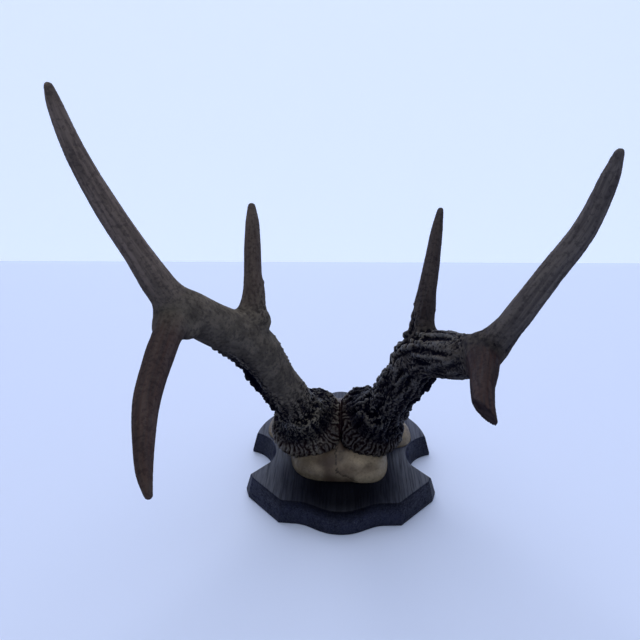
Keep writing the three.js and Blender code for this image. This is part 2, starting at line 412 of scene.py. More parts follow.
antlerSet = {
    # stations along each branch and the balls that fill its crotches: x, y, z and radius in mm
    "left": {
        "beam": [
            (-22, -25, 36, 12.8), (-30, -35, 62, 11.8), (-39.6, -48, 88.7, 11.8), (-48.2, -56, 111.4, 13),
            (-57.5, -64, 124.8, 12.2), (-66, -74, 135, 11.1), (-74.5, -83, 146, 10.6),
            (-81.8, -89, 156.3, 8.4), (-92.4, -92, 179, 6.1), (-102.8, -93, 201, 5.4),
            (-111.2, -94, 224, 4.3), (-115.5, -94, 242, 3), (-116.4, -94, 248, 1.9),
        ],
        "frontTine": [
            (-52, -60, 124, 9.8), (-48.6, -50, 139, 7.1), (-49.6, -42, 151, 5), (-50.3, -34, 163, 4.8),
            (-51.2, -24, 176, 4), (-52.2, -17.5, 183.4, 2.4),
        ],
        "rearTine": [
            (-78, -84, 150, 9.1), (-80, -103, 143, 7.1), (-80.2, -120, 137, 6.3), (-79.3, -137, 131, 5.7),
            (-76.5, -151, 125.5, 4.7), (-71.8, -167, 118.2, 3.2), (-68, -175, 114.7, 1.7),
        ],
        "webs": [
            (-74.4, -91, 141, 6.6), (-83.8, -90, 149, 6.6), (-84.6, -94, 145, 5.8), (-84.4, -97, 143, 5.4),
            (-48.5, -56, 132, 6.8), (-44, -56, 129, 6.3),
        ],
        "seed": 11,
    },
    "right": {
        "beam": [
            (21, -24, 37, 13), (32, -34, 64.5, 12.3), (40.4, -42, 84.8, 12.6), (46.8, -50.5, 105.6, 13.2),
            (54, -65.5, 114.8, 12), (63, -80.5, 121.8, 11), (71.2, -90, 132.2, 8.8), (78.2, -94, 145.4, 6.2),
            (91.3, -93, 168.3, 5.7), (103.8, -93, 191, 4.9), (109.1, -93, 211, 3.8), (110.4, -94, 221.5, 2),
        ],
        "frontTine": [
            (44, -53, 106, 9.6), (46.2, -46, 128, 6.8), (48, -40, 141, 5.2), (51.3, -30, 156, 4.4),
            (55.1, -17, 173, 3), (57, -11, 179.7, 2),
        ],
        "rearTine": [
            (68, -86, 131, 9.2), (66, -104, 128.5, 7), (62.6, -116, 125.7, 5.4), (60.7, -128, 123.5, 4.6),
            (60, -136, 122.2, 4.2), (59.6, -144, 120.7, 3.9),
        ],
        "webs": [(64, -91, 123.5, 6), (63, -96, 121.5, 4.5), (73, -97, 131.5, 5)],
        "broken": {"at": (59.7, -130.5, 122.5), "facing": (-0.88, -0.42, -0.22), "reach": 24},
        "seed": 23,
    },
    "stepsPerStation": 24,
    "lineStep": 0.5,
    "sides": 48,
    "ringEvery": 2.0,
    "voxelRough": 0.9,
    "voxelFine": 0.6,
    "fillets": {"frontTine": (0.14, 22), "rearTine": (0.1, 24)},  # middle along the tine, and reach in mm
    "filletPasses": 45,
}

burrSet = {
    # radius and height along the antler, from the seat up to the beam
    "profile": [(16.5, -5), (19.4, -4), (20.9, -1), (20.3, 2), (17.6, 6), (14.4, 11), (12.6, 18), (11.5, 26)],
    "sides": 60,
    "flutes": 36,
    "fluteDepth": 1.5,
    "knobs": [(-3.6, 1.2, 1.5, 1.7), (-1.2, 1.0, 1.6, 1.2)],  # height, and size across, along and out
    "axis": {"left": (-0.08, -0.5, 0.86), "right": (0.08, -0.5, 0.86)},
    "backReach": 0.12,  # share further out at the forehead end
    "innerLift": 8,  # how much higher it stands there, towards the other antler
    "spread": {"left": (0.2, 0.16), "right": (0.03, 0.14)},  # the same on the outer and the inner side
    "halfGap": 0.03,
}

reliefSet = {
    # depth in mm of the long ridges and the bark, each on rough and on smooth horn, and of the pearls;
    # share of the beam's length over which the horn turns from rough to smooth and from dark to light;
    # edge is the side that stays rough for longer, gutter a hollow and keel a rib along the beam;
    # tinePearls is how rough the front tine's inner side and the rear tine's foot are
    "left": {
        "ridge": (0.7, 0.12), "bark": (0.7, 0.1), "pebble": 0.5, "rough": (0.1, 0.24), "dark": (0.07, 0.2),
        "edge": (-0.80, -0.25, -0.54), "edgeEnd": (0.40, 0.47), "tinePearls": (0.35, 0),
        "gutter": {"facing": (-0.65, -0.6, -0.29), "wide": 0.56, "deep": 0.4, "from": 0.12, "to": 0.47},
    },
    "right": {
        "ridge": (2.3, 0.6), "bark": (0.7, 0.15), "pebble": 0.38, "rough": (0.42, 0.68), "dark": (0.12, 0.3),
        "edge": (-0.2, -0.1, -0.97), "edgeEnd": (0.5, 0.58), "tinePearls": (0.75, 0.35),
        "gutter": {"facing": (0.73, -0.54, -0.28), "wide": 0.66, "deep": 0.7, "from": 0.18, "to": 0.47},
    },
    "keel": {"facing": (0.5, -0.78, 0.0), "wide": 0.16, "high": 1.3, "from": 0.16, "to": 0.5},
    "pebbleGap": 2.0,
    "pebbleSize": (-0.5, 1.5),  # the smallest don't show
    "pebbleReach": 1.5,
    "leather": 0.12,  # fine wrinkles on the smooth horn
}


def thread(stations):
    # centripetal Catmull-Rom line through the stations, with its radius
    stations = np.array(stations, float)
    first, last = 2 * stations[0] - stations[1], 2 * stations[-1] - stations[-2]
    p = np.vstack([first, stations, last])
    line = []
    for i in range(1, len(p) - 2):
        span = p[i - 1:i + 3]
        knots = np.r_[0, np.cumsum(np.linalg.norm(np.diff(span[:, :3], axis=0), axis=1) ** 0.5)]
        for u in np.linspace(0, 1, antlerSet["stepsPerStation"], endpoint=False):
            t = knots[1] + u * (knots[2] - knots[1])
            level = list(span[:, :3])
            for gap in (1, 2):
                level = [
                    ((knots[j + gap] - t) * a + (t - knots[j]) * b) / (knots[j + gap] - knots[j])
                    for j, (a, b) in enumerate(zip(level, level[1:]))
                ]
            a, b = level
            centre = ((knots[2] - t) * a + (t - knots[1]) * b) / (knots[2] - knots[1])
            line.append([*centre, span[1][3] + (span[2][3] - span[1][3]) * u])
    line.append(stations[-1])
    return np.array(line)


class Branch:
    # an evenly stepped line with a radius and two directions across it at each step
    def __init__(self, stations, side):
        self.side = side
        raw = thread(stations)
        run = np.r_[0, np.cumsum(np.linalg.norm(np.diff(raw[:, :3], axis=0), axis=1))]
        self.length = run[-1]
        even = np.linspace(0, self.length, int(self.length / antlerSet["lineStep"]) + 2)
        self.line = np.stack([np.interp(even, run, raw[:, k]) for k in range(3)], axis=1)
        self.radii = np.interp(even, run, raw[:, 3])
        self.tangents = np.gradient(self.line, axis=0)
        self.tangents /= np.linalg.norm(self.tangents, axis=1)[:, None]
        normal = np.cross(self.tangents[0], (0.0, 1.0, 0.0))
        found = []
        for tangent in self.tangents:
            normal = normal - tangent * (normal @ tangent)
            normal = normal / np.linalg.norm(normal)
            found.append(normal)
        self.normals = np.array(found)
        self.sides = np.cross(self.tangents, self.normals)

    def spot(self, t):
        i = int(round(t * (len(self.line) - 1)))
        return self.line[i], self.radii[i], self.tangents[i], self.normals[i], self.sides[i]

    def surface(self, t, angle):
        centre, radius, tangent, normal, side = self.spot(t)
        outward = normal * math.cos(angle) + side * math.sin(angle)
        return Vector(centre + outward * radius), Vector(outward), Vector(tangent)


def onceEach(parts):
    # without repeats and in a fixed order, so that each run gives the same mesh
    return list(dict.fromkeys(parts))


def addBall(bm, at, radius):
    bmesh.ops.create_icosphere(bm, subdivisions=3, radius=float(radius), matrix=Matrix.Translation(at))


def addTube(bm, branch):
    before = len(bm.verts)
    rings = int(branch.length / antlerSet["ringEvery"])
    bmesh.ops.create_cone(bm, cap_ends=True, segments=antlerSet["sides"], radius1=1, radius2=1, depth=1)
    bm.verts.ensure_lookup_table()
    uprights = onceEach(
        e for v in bm.verts[before:] for e in v.link_edges
        if abs(e.verts[0].co.z - e.verts[1].co.z) > 0.5)
    bmesh.ops.subdivide_edges(bm, edges=uprights, cuts=rings, use_grid_fill=True)
    bm.verts.ensure_lookup_table()
    for v in bm.verts[before:]:
        t = min(max(v.co.z + 0.5, 0), 1)
        v.co = branch.surface(t, math.atan2(v.co.y, v.co.x))[0]
    addBall(bm, *branch.spot(1.0)[:2])


def burrPoint(branch, angle, height):
    # a point on the collar, and the collar's axis
    centre, _, _, normal, _ = branch.spot(0)
    axis = np.array(burrSet["axis"][branch.side])
    axis /= np.linalg.norm(axis)
    normal = normal - axis * (normal @ axis)
    normal /= np.linalg.norm(normal)
    outward = normal * math.cos(angle) + np.cross(axis, normal) * math.sin(angle)
    heights = [h for _, h in burrSet["profile"]]
    radius = float(np.interp(height, heights, [r for r, _ in burrSet["profile"]]))
    share = np.interp(height, (heights[0], 0, heights[-1]), (0.3, 1, 0))
    outer, inward = burrSet["spread"][branch.side]
    aside = outward[0] * math.copysign(1, axis[0])
    wide = outer * max(0.0, aside) + inward * max(0.0, -aside) + burrSet["backReach"] * max(0.0, outward[1])
    radius *= 1 + wide * share
    inner = (-math.copysign(0.5, axis[0]), 0.85, 0)
    rise = (0, 0, burrSet["innerLift"] * max(0.0, outward @ inner) * share)
    return Vector(centre + outward * radius + axis * height + rise), Vector(axis)


def addBurr(bm, branch):
    rings = []
    for _, height in burrSet["profile"]:
        verts = bmesh.ops.create_circle(bm, segments=burrSet["sides"], radius=1)["verts"]
        for v in verts:
            v.co = burrPoint(branch, math.atan2(v.co.y, v.co.x), height)[0]
        rings.append(verts)
    loops = [onceEach(e for v in verts for e in v.link_edges) for verts in rings]
    for low, high in zip(loops, loops[1:]):
        bmesh.ops.bridge_loops(bm, edges=low + high)
    bmesh.ops.contextual_create(bm, geom=loops[0])
    bmesh.ops.contextual_create(bm, geom=loops[-1])


def makeBead():
    bm = bmesh.new()
    bmesh.ops.create_icosphere(bm, subdivisions=2, radius=1)
    return meshFrom(bm, "bead")


bead = makeBead()


def addBead(bm, point, outward, along, across, length, out):
    along = (along - outward * along.dot(outward)).normalized()
    side = along.cross(outward)
    turn = Matrix((side * across, along * length, outward * out)).transposed().to_4x4()
    one = bead.copy()
    one.transform(Matrix.Translation(point) @ turn)
    bm.from_mesh(one)
    bpy.data.meshes.remove(one)


def settle(core, point):
    place, normal, _, _ = core.find_nearest(point)
    return place, normal


def addBurrBeads(bm, branch, core, rand):
    # the flutes of the collar end in knobs
    count = burrSet["flutes"]
    for i in range(count):
        for height, across, length, out in burrSet["knobs"]:
            angle = (i + rand.uniform(-0.3, 0.3)) / count * math.tau
            point, along = burrPoint(branch, angle, height + rand.uniform(-0.7, 0.7))
            place, normal = settle(core, point)
            s = rand.uniform(0.7, 1.25)
            addBead(bm, place - normal * 0.35 * s, normal, along, across * s, length * s, out * s)


def scatterBeads(bm, branch, core, rand, count, start, end, size, prefer):
    # pearls over a stretch of a branch, on the side that prefer points to if it is given
    for _ in range(count):
        t = rand.uniform(start, end)
        for _ in range(8):
            point, outward, along = branch.surface(t, rand.uniform(0, math.tau))
            if prefer is None or rand.random() < max(0.04, outward.dot(prefer)) ** 2:
                break
        place, normal = settle(core, point)
        s = size * rand.uniform(0.55, 1.2)
        lean = Vector((rand.uniform(-0.4, 0.4), rand.uniform(-0.4, 0.4), rand.uniform(-0.4, 0.4)))
        addBead(bm, place - normal * s * 0.35, normal, along + lean, s, s * rand.uniform(1.0, 2.2),
                s * rand.uniform(0.8, 1.15))


def rowOfBeads(bm, branch, core, rand, angle, start, end, every, size):
    # pearls strung along one crest of a beam
    t = start
    while t < end:
        wander = angle + 0.12 * math.sin(t * 9 + angle * 3) + rand.uniform(-0.1, 0.1)
        point, _, along = branch.surface(t, wander)
        place, normal = settle(core, point)
        s = size * rand.uniform(0.6, 1.2)
        addBead(bm, place - normal * s * 0.2, normal, along, s, s * rand.uniform(1.0, 1.7), s * 1.35)
        t += every * rand.uniform(0.7, 1.5) / branch.length


def edgeAngle(branch, t, direction):
    # the angle round the branch that faces a direction
    _, _, _, normal, side = branch.spot(t)
    return math.atan2(side @ np.array(direction), normal @ np.array(direction))


def branchCoords(places, branches):
    # place on the nearest branch, as offsets across it and a run along it, the share of its length,
    # its number, how clearly it is the nearest one, and the direction away from its middle
    best, second = np.full(len(places), 1e9), np.full(len(places), 1e9)
    flow, away = np.zeros((len(places), 3)), np.zeros((len(places), 3))
    share = np.zeros(len(places))
    name = np.zeros(len(places), int)
    for number, branch in enumerate(branches.values()):
        tree = treeOf(branch.line)
        index = np.array([tree.find(c)[1] for c in places])
        offset = places - branch.line[index]
        ratio = np.linalg.norm(offset, axis=1) / branch.radii[index]
        x = np.einsum("ij,ij->i", offset, branch.normals[index])
        y = np.einsum("ij,ij->i", offset, branch.sides[index])
        run = index / (len(branch.line) - 1)
        z = np.einsum("ij,ij->i", offset, branch.tangents[index]) + run * branch.length
        near = ratio < best
        second = np.where(near, best, np.minimum(second, ratio))
        best[near] = ratio[near]
        flow[near] = np.stack([x, y, z], axis=1)[near]
        away[near] = (branch.normals[index] * x[:, None] + branch.sides[index] * y[:, None])[near]
        share[near] = run[near]
        name[near] = number
    away /= np.maximum(np.linalg.norm(away, axis=1), 1e-6)[:, None]
    return flow, share, name, smoothStep(0.02, 0.5, second - best), away


def alongSide(away, share, name, band):
    # a soft stripe along the side of the beam that faces one way
    facing = np.array(band["facing"]) / np.linalg.norm(band["facing"])
    turn = np.arccos(np.clip(away @ facing, -1, 1)) / band["wide"]
    start, end = band["from"], band["to"]
    ends = softBand(share, start - 0.05, start + 0.04, end - 0.06, end + 0.04)
    return np.exp(-turn ** 2) * ends * (name == 0)


def roughShare(name, share, out, side, clear):
    # 1 on the pearled horn, 0 where it is smooth
    relief = reliefSet[side]
    beam = 1 - smoothStep(*relief["rough"], share)
    facing = smoothStep(0.25, 0.8, out @ np.array(relief["edge"]))
    beam = np.maximum(beam, facing * (1 - smoothStep(*relief["edgeEnd"], share)))
    inward = smoothStep(0.1, 0.8, out[:, 0] * (1 if side == "left" else -1))
    innerRough, footRough = relief["tinePearls"]
    front = (1 - smoothStep(0.12, 0.5, share)) * (0.1 + innerRough * inward)
    rear = footRough * (1 - smoothStep(0.0, 0.2, share))
    tines = np.where(name == 1, front, rear)
    return np.where(name == 0, beam, tines * (0.3 + 0.7 * clear))


def ridgeField(flow, name, seed):
    # the long ridges: 1 on a crest, down to -1 in a furrow
    around = flow * (0.17, 0.17, 0.03) + name[:, None] * 9.7
    bend = swirl(flow * (0.05, 0.05, 0.05), seed + 6)[:, None] * 0.35
    return crests(around + bend, seed) * 1.7 - 1.15 + 0.35 * swirl(around * 2.4, seed + 5)


def pebbles(flow, name, weight, seed):
    # pearls of many sizes, run together along the branch and apart across it
    dice = np.random.default_rng(seed)
    field = flow * (1, 1, 0.5) + name[:, None] * 300
    field = field + drift(flow * 0.45, seed + 7) * 0.9
    count = int(len(field) * antlerSet["voxelFine"] ** 2 * coarse ** 2 / reliefSet["pebbleGap"] ** 2)
    picked = dice.choice(len(field), min(count, len(field)), replace=False)
    tree = treeOf(field[picked])
    found = [tree.find(c) for c in field]
    size = dice.uniform(*reliefSet["pebbleSize"], len(picked))[[f[1] for f in found]]
    distance = np.array([f[2] for f in found])
    return np.clip(size - (distance / reliefSet["pebbleReach"]) ** 2 * 0.9, -0.6, 1.4) * weight


def burrFlutes(flow, name, seed):
    # flutes of uneven width that fan out over the collar, with narrow grooves between
    angle = np.arctan2(flow[:, 1], flow[:, 0])
    ring = np.stack([np.cos(angle), np.sin(angle), flow[:, 2] * 0.04], 1)
    bend = 0.17 * swirl(ring * 3, seed) + 0.05 * swirl(ring * (8, 8, 8), seed + 15)
    groove = 1 - np.abs(np.sin((angle + bend) * burrSet["flutes"] / 2)) ** 0.7
    groove *= np.clip(0.7 + 0.9 * swirl(ring * (6, 6, 10), seed + 16), 0.1, 1.2)
    window = softBand(flow[:, 2], -8, -4, 3, 11) * (name == 0)
    return groove * window, window


def shapeCore(mesh, branches, side):
    # long ridges and furrows, before any pearl is set
    seed, relief = antlerSet[side]["seed"], reliefSet[side]
    places, out = readVectors(mesh, "co"), readVectors(mesh, "normal")
    flow, share, name, clear, away = branchCoords(places, branches)
    rough = roughShare(name, share, out, side, clear)
    thick = np.clip(np.linalg.norm(flow[:, :2], axis=1) / 12, 0.2, 1.2)
    deep, shallow = relief["ridge"]
    _, window = burrFlutes(flow, name, seed)
    ridge = ridgeField(flow, name, seed) * (shallow + (deep - shallow) * rough) * thick * clear
    push = ridge * (1 - window)
    gutter = relief["gutter"]
    push -= alongSide(away, share, name, gutter) * gutter["deep"]
    if side == "right":
        keel = reliefSet["keel"]
        push += alongSide(away, share, name, keel) * keel["high"]
    setPlaces(mesh, places + out * push[:, None])


def planeCut(bm, geom, at, facing):
    # takes away what lies past a plane and closes the cut
    made = bmesh.ops.bisect_plane(bm, geom=geom, plane_co=at, plane_no=facing, clear_outer=True)
    edges = [g for g in made["geom_cut"] if isinstance(g, bmesh.types.BMEdge)]
    bmesh.ops.holes_fill(bm, edges=edges, sides=0)
    bmesh.ops.triangulate(bm, faces=[f for f in bm.faces if len(f.verts) > 4])


def cutOff(mesh, at, facing, reach):
    # the broken end of a tine
    bm = bmesh.new()
    bm.from_mesh(mesh)
    near = [f for f in bm.faces if (f.calc_center_median() - Vector(at)).length < reach]
    planeCut(bm, onceEach(part for f in near for part in (*f.verts, *f.edges, f)), at, facing)
    bm.to_mesh(mesh)
    bm.free()


def forkFillet(mesh, branches):
    # softens the crotches where the tines leave the beam
    places = readVectors(mesh, "co")
    weight = np.zeros(len(places))
    for key, (t, reach) in antlerSet["fillets"].items():
        distance = np.linalg.norm(places - branches[key].spot(t)[0], axis=1)
        weight = np.maximum(weight, 1 - smoothStep(reach * 0.45, reach, distance))
    for _ in range(int(antlerSet["filletPasses"] / coarse ** 2)):
        around = neighbourMean(mesh, places)
        places = places + (around - places) * 0.5 * weight[:, None]
    setPlaces(mesh, places)


def flatBetween(mesh, side):
    # where the two burrs press on each other they are flat
    places = readVectors(mesh, "co")
    outer = -1 if side == "left" else 1
    places[:, 0] = np.maximum(places[:, 0] * outer, burrSet["halfGap"]) * outer
    setPlaces(mesh, places)


pearlSet = {
    # loose pearls: branch, how many, from, to, size, and the side they keep to
    "left": [
        ("beam", 80, 0.07, 0.2, 1.3, None), ("beam", 20, 0.16, 0.26, 1.1, None),
        ("frontTine", 8, 0.08, 0.4, 0.9, (1, 0, 0)),
    ],
    "right": [
        ("beam", 90, 0.07, 0.2, 1.4, None), ("beam", 60, 0.16, 0.42, 1.25, None),
        ("beam", 14, 0.4, 0.56, 1.0, None), ("frontTine", 26, 0.05, 0.36, 1.2, (-1, 0, 0.1)),
        ("beam", 26, 0.2, 0.46, 1.4, (-0.2, -0.1, -0.97)),
    ],
}
pearlRows = {
    # pearls in rows along the beam: the side they face, from, to, spacing, size, and turns between rows
    "left": [
        ((-0.80, -0.25, -0.54), 0.1, 0.44, 4.8, 2.0, (-0.3, 0.0, 0.25)),
        ((0.80, 0.25, 0.54), 0.1, 0.34, 3.2, 0.7, (-0.3, 0.0, 0.3)),
    ],
    "right": [
        ((-0.84, 0.23, 0.49), 0.08, 0.42, 4.4, 2.2, (-0.35, 0.0, 0.35)),
        ((0.84, -0.23, -0.49), 0.1, 0.44, 4.6, 1.9, (-0.25, 0.0, 0.3)),
    ],
}


def strewPearls(bm, branches, core, side, rand):
    beam = branches["beam"]
    addBurrBeads(bm, beam, core, rand)
    for branch, count, start, end, size, facing in pearlSet[side]:
        prefer = facing and Vector(facing)
        scatterBeads(bm, branches[branch], core, rand, count, start, end, size, prefer)
    for facing, start, end, every, size, turns in pearlRows[side]:
        for turn in turns:
            angle = edgeAngle(beam, (start + end) / 2, facing) + turn
            rowOfBeads(bm, beam, core, rand, angle, start, end, every, size)


def barkRelief(flow, places, share, name, rough, window, clear, side):
    # worm-like bark and pearls on the rough horn, faint grain on the tines
    relief, seed = reliefSet[side], antlerSet[side]["seed"]
    warp = drift(places * 0.3, seed + 12)
    worms = crests(flow * (0.4, 0.4, 0.13) + warp * 0.45, seed + 2) * 2 - 1.5
    crumbs = crests(places * 0.33 + warp * 0.5, seed + 1) * 2 - 1.5
    mixed = 0.75 * clear * smoothStep(0.12, 0.28, share)
    worms = worms * mixed + crumbs * (1 - mixed)
    fine = crests(places * 0.8 + warp * 0.6, seed + 3) * 1.6 - 1.25
    grain = 0.1 * swirl(flow * (0.5, 0.5, 0.045), seed + 4) * clear
    leather = reliefSet["leather"] * crests(places * 0.65 + warp, seed + 17) * (name == 0)
    deep, shallow = relief["bark"]
    bark = (worms * 0.65 + fine * 0.35) * (shallow + (deep - shallow) * rough) * (1 - 0.6 * window)
    crest = 0.3 + 0.7 * smoothStep(-0.5, 0.3, ridgeField(flow, name, seed))
    few = 1 - 0.7 * smoothStep(0.2, 0.34, share) * (name == 0)
    stones = pebbles(flow, name, rough * crest * (1 - 0.85 * window) * clear * few, seed)
    return bark + stones * relief["pebble"] + (grain + leather) * (1 - rough)


def buildAntler(side, material):
    plan = antlerSet[side]
    relief = reliefSet[side]
    rand = random.Random(plan["seed"])
    branches = {key: Branch(plan[key], side) for key in ("beam", "frontTine", "rearTine")}
    bm = bmesh.new()
    for branch in branches.values():
        addTube(bm, branch)
    for *at, radius in plan["webs"]:
        addBall(bm, at, radius)
    addBurr(bm, branches["beam"])
    body = skinOf(bm, side + " core", antlerSet["voxelRough"])
    forkFillet(body, branches)
    shapeCore(body, branches, side)
    if "broken" in plan:
        cutOff(body, **plan["broken"])
    core = BVHTree.FromPolygons(
        [v.co.copy() for v in body.vertices], [tuple(p.vertices) for p in body.polygons])
    bm = bmesh.new()
    strewPearls(bm, branches, core, side, rand)
    bm.from_mesh(body)
    antler = skinOf(bm, side + " antler", antlerSet["voxelFine"])
    places, out = readVectors(antler, "co"), readVectors(antler, "normal")
    flow, share, name, clear, away = branchCoords(places, branches)
    steady = neighbourMean(antler, out, 12)
    rough = roughShare(name, share, steady, side, clear)
    groove, window = burrFlutes(flow, name, plan["seed"])
    push = barkRelief(flow, places, share, name, rough, window, clear, side)
    push -= (groove - 0.35 * window) * burrSet["fluteDepth"]
    setPlaces(antler, places + out * push[:, None])
    flatBetween(antler, side)
    out = readVectors(antler, "normal")
    # painted shade: darker in small and wide hollows, in the furrows, where the burrs press together and
    # along the gutter; a painted highlight along the right beam's keel
    near = np.clip(hollows(antler, 3) / 0.2, -1, 1) * (0.3 + 0.7 * rough)
    wide = np.clip(hollows(antler, 16) / 0.7, -1, 1)
    furrow = np.clip(-ridgeField(flow, name, plan["seed"]), -1, 1) * rough * clear * (1 - window)
    pressed = 1 - smoothStep(0.3, 1.6, np.abs(readVectors(antler, "co")[:, 0]))
    dark = np.where(name == 0, 1 - smoothStep(*relief["dark"], share), 0)
    # painted shade in the crease where the beam leaves the collar
    throat = softBand(flow[:, 2], 4, 10, 12, 24) * (name == 0)
    gutter = alongSide(away, share, name, relief["gutter"])
    keel = alongSide(away, share, name, reliefSet["keel"]) * (side == "right")
    shape = near * 0.65 + wide * 0.65 + furrow * 0.45 + pressed * 2 + gutter * 0.5 - keel * 0.7
    setPlaces(antler, readVectors(antler, "co") * mm + boneShift)
    top = np.where(name == 0, smoothStep(0.5, 0.72, share), 0.6 * smoothStep(0.1, 0.4, share) * (name == 1))
    # painted shade on the downward faces, in the gutter and in that crease
    under = np.maximum.reduce([-out[:, 2], np.minimum(gutter * 1.3, 0.95), throat * 0.55])
    store(
        antler,
        flow=flow + name[:, None] * 37,
        relief=np.clip(shape, -1, 1),
        roughHorn=rough,
        # the beam's dark base is its own colour; the gutter stripe in it is painted shade
        darkHorn=np.maximum(dark, gutter * 0.9),
        topHorn=top * clear,
        tineHorn=smoothStep(0.05, 0.3, share) * np.array((0, 0.45, 1))[name] * clear,
        collar=window,
        groove=np.clip(groove * 1.05, 0, 1),
        under=np.clip(under, 0, 1),
    )
    nodes = [side + part for part in ("_lower_beam", "_front_tine", "_upper_beam", "_rear_tine")]
    makeObject(side + "Antler", antler, material, nodes)
    print(side, "antler:", len(antler.polygons), "faces")


hornLooks = {
    # a darker and a lighter tone for each stretch of the horn; deep and pit are painted shade, crest the
    # lighter crests, partly wear and partly painted highlight
    "left": {
        "beam": ((0.076, 0.064, 0.054, 1), (0.132, 0.111, 0.092, 1)),
        "top": ((0.102, 0.080, 0.072, 1), (0.180, 0.141, 0.124, 1)),
        "tine": ((0.040, 0.029, 0.029, 1), (0.070, 0.050, 0.047, 1)),
        "rough": ((0.004, 0.0045, 0.009, 1), (0.034, 0.029, 0.027, 1)),
        "warm": (0.060, 0.033, 0.028, 1), "deep": (0.0005, 0.0008, 0.0050, 1),
        "crest": (0.24, 0.208, 0.160, 1), "flute": (0.070, 0.058, 0.052, 1), "pit": (0.010, 0.003, 0.005, 1),
        "wearAndHighlight": 0.8,
    },
    "right": {
        "beam": ((0.020, 0.018, 0.021, 1), (0.060, 0.051, 0.047, 1)),
        "top": ((0.070, 0.060, 0.062, 1), (0.125, 0.108, 0.104, 1)),
        "tine": ((0.026, 0.019, 0.022, 1), (0.052, 0.040, 0.041, 1)),
        "rough": ((0.0008, 0.0012, 0.0060, 1), (0.014, 0.012, 0.017, 1)),
        "warm": (0.050, 0.026, 0.022, 1), "deep": (0.0004, 0.0007, 0.0052, 1),
        "crest": (0.14, 0.121, 0.102, 1), "flute": (0.026, 0.021, 0.021, 1), "pit": (0.006, 0.002, 0.004, 1),
        "wearAndHighlight": 0.65,
    },
    "gloss": 0.05,
    "patchScale": 130.0,
}


def antlerMaterial(name, look):
    # the shine is a thin coat, worn on the crests and missing where hollows and downward faces have painted
    # shade
    material, g, shader = newMaterial(name, 0.0)
    shader.inputs["Coat Roughness"].default_value = 0.3
    shader.inputs["Coat IOR"].default_value = 1.45
    flow = g.attribute("flow", "Vector")
    rough = g.attribute("roughHorn")
    under = g.attribute("under")
    coords = g.add("ShaderNodeTexCoord").outputs["Object"]
    patch = g.group(mottle, {"Vector": coords, "Coarse": hornLooks["patchScale"], "Fine": 900.0})
    lines = g.group(streaks, {"Vector": flow, "Across": 0.55, "Along": 0.035})
    bands = g.group(streaks, {"Vector": flow, "Across": 0.3, "Along": 0.009})
    shade = g.group(reliefShade, {"Relief": g.attribute("relief"), "Reach": 0.5})
    crumbs = g.noise(coords, 520.0, 3.0, 0.62)
    # pit is painted shade in the dips of the fine crumbs; grit lightens their tops like the crests
    pit = g.times(g.between(crumbs, 0.5, 0.38), g.scaled(rough, 0.55, 0.3))
    grit = g.times(g.between(crumbs, 0.55, 0.68), g.scaled(rough, 0.5, 0.1))
    tine = g.attribute("tineHorn")
    colour = g.mix(patch["Patch"], *look["beam"])
    colour = g.mix(g.attribute("topHorn"), colour, g.mix(lines["Streak"], *look["top"]))
    colour = g.mix(tine, colour, g.mix(bands["Streak"], *look["tine"]))
    colour = g.mix(g.times(g.times(bands["Fine"], tine), 0.5), colour, look["warm"])
    # dark base of the beam, with painted shade along the gutter
    colour = g.mix(g.attribute("darkHorn"), colour, g.mix(patch["Patch"], *look["rough"]))
    # the collar's flutes, with painted shade in the grooves between them
    colour = g.mix(g.attribute("collar"), colour, g.mix(g.attribute("groove"), look["flute"], look["pit"]))
    # lighter crests and crumb tops: partly worn tips, partly painted highlight, also along the right beam's
    # keel
    crest = g.times(shade["Crest"], g.scaled(rough, 0.5, 0.1))
    crestWearAndHighlight = g.between(g.noise(coords, 70.0, 2.0, 0.5), 0.38, 0.62, look["wearAndHighlight"] * 0.3, look["wearAndHighlight"])
    colour = g.mix(g.times(g.math("MAXIMUM", crest, grit), crestWearAndHighlight), colour, look["crest"])
    # painted shade: hollows and crumb dips go dark, on the collar in the groove colour
    deep = g.mix(g.attribute("collar"), look["deep"], look["pit"])
    colour = g.mix(g.math("MAXIMUM", g.times(shade["Hollow"], 0.92), pit), colour, deep)
    # painted shade on the downward faces, the gutter and the crease above the collar
    colour = g.mix(g.times(under, 0.88), colour, look["deep"])
    g.put(shader, "Base Color", colour)
    g.put(shader, "Roughness", g.between(patch["Speck"], 0.0, 1.0, 0.5, 0.7))
    bare = g.math("SUBTRACT", 1.0, g.math("MAXIMUM", shade["Hollow"], under))
    gloss = g.scaled(g.times(shade["Crest"], rough), 0.6, hornLooks["gloss"])
    g.put(shader, "Coat Weight", g.times(bare, gloss))
    grain = g.noise(g.stretch(flow, (1.6, 1.6, 0.22)), 1.6, 4.0, 0.6)
    height = g.math("ADD", g.times(grain, 0.4), g.times(crumbs, 0.8))
    g.put(shader, "Normal", g.bump(height, 0.5, 0.0004))
    return material


for side in ("left", "right"):
    buildAntler(side, antlerMaterial(side + " horn", hornLooks[side]))


capSet = {
    "lumps": [
        {"at": (-1.5, -14, 15), "size": (33, 41, 14), "square": 0.62},
        {"at": (15, -32, 15), "size": (16.5, 23.7, 11), "square": 0.75},
        {"at": (-1, -24, 15), "size": (9, 22, 18), "square": 0.9},
        {"at": (0, 6, 15), "size": (29, 25, 15), "square": 0.75},
        {"at": (36, -5, 15), "size": (14.5, 15, 10), "square": 0.85},
        {"at": (-39, 1, 15), "size": (14.5, 15, 9.5), "square": 0.85},
    ],
    "pedicle": (15, 17.5, 16),  # radius at the burr and at the foot, and length
    "voxel": 0.8,
    "smooth": 8,
    "lift": 0.05,  # its foot stands just clear of the shield
    "softPasses": 60,  # more smoothing, for all but its near end
}


